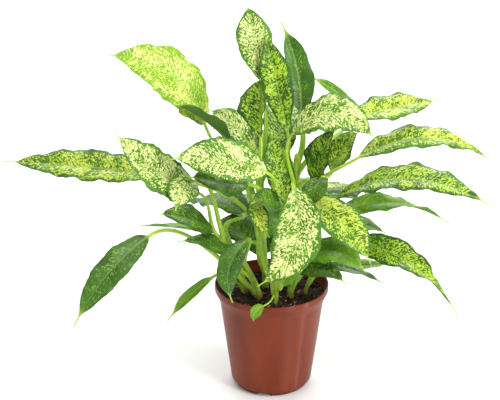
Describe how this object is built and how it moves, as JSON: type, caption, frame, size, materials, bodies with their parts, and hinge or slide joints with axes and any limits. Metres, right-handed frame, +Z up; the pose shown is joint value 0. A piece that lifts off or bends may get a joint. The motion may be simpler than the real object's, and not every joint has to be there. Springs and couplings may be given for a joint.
{
  "type": "potted dieffenbachia",
  "caption": "Bushy variegated foliage plant on short canes in a brown nursery pot with a lipped rim, a notched foot ring and dark potting mix.",
  "frame": {"origin": "middle of the pot's underside, on the surface it stands on", "axes": "+Z up along the pot's axis; the side with the most light-coloured leaves and the pot's front foot notch faces -Y; +X to the right when seen from -Y"},
  "size_m": [0.5267, 0.2875, 0.4081],
  "materials": {
    "pot_plastic": "satin",
    "potting_mix": "matte",
    "cane_skin": "satin",
    "leaf_skin": "satin"
  },
  "bodies": {
    "root": {"cane_back_left": "cane_skin", "cane_back_right": "cane_skin", "cane_front": "cane_skin", "cane_front_left": "cane_skin", "cane_front_right": "cane_skin", "cane_left": "cane_skin", "cane_right": "cane_skin", "leaf_back_drop": "leaf_skin", "leaf_back_high_left": "leaf_skin", "leaf_back_high_right": "leaf_skin", "leaf_back_low": "leaf_skin", "leaf_back_low_left": "leaf_skin", "leaf_back_low_right": "leaf_skin", "leaf_back_middle": "leaf_skin", "leaf_back_near": "leaf_skin", "leaf_back_side_right": "leaf_skin", "leaf_back_twist": "leaf_skin", "leaf_centre_back": "leaf_skin", "leaf_centre_cream": "leaf_skin", "leaf_centre_low": "leaf_skin", "leaf_centre_shade": "leaf_skin", "leaf_crown_dark": "leaf_skin", "leaf_crown_left": "leaf_skin", "leaf_crown_right": "leaf_skin", "leaf_crown_tall": "leaf_skin", "leaf_front_cream": "leaf_skin", "leaf_front_curl": "leaf_skin", "leaf_front_lime": "leaf_skin", "leaf_front_right": "leaf_skin", "leaf_front_seedling": "leaf_skin", "leaf_left_back": "leaf_skin", "leaf_left_cream": "leaf_skin", "leaf_left_droop": "leaf_skin", "leaf_left_edge": "leaf_skin", "leaf_left_long": "leaf_skin", "leaf_left_low": "leaf_skin", "leaf_left_nod": "leaf_skin", "leaf_left_thin": "leaf_skin", "leaf_left_under": "leaf_skin", "leaf_mid_left": "leaf_skin", "leaf_right_arch": "leaf_skin", "leaf_right_big": "leaf_skin", "leaf_right_cream": "leaf_skin", "leaf_right_dark": "leaf_skin", "leaf_right_gloss": "leaf_skin", "leaf_right_grey": "leaf_skin", "leaf_right_lime": "leaf_skin", "leaf_right_mid": "leaf_skin", "leaf_right_nook": "leaf_skin", "leaf_right_plain": "leaf_skin", "leaf_right_shadow": "leaf_skin", "leaf_right_side": "leaf_skin", "leaf_right_speck": "leaf_skin", "leaf_right_top": "leaf_skin", "leaf_right_twist": "leaf_skin", "leaf_rim_left": "leaf_skin", "leaf_rim_narrow": "leaf_skin", "leaf_upper_left": "leaf_skin", "pot": "pot_plastic", "soil": "potting_mix"}
  },
  "joints": []
}
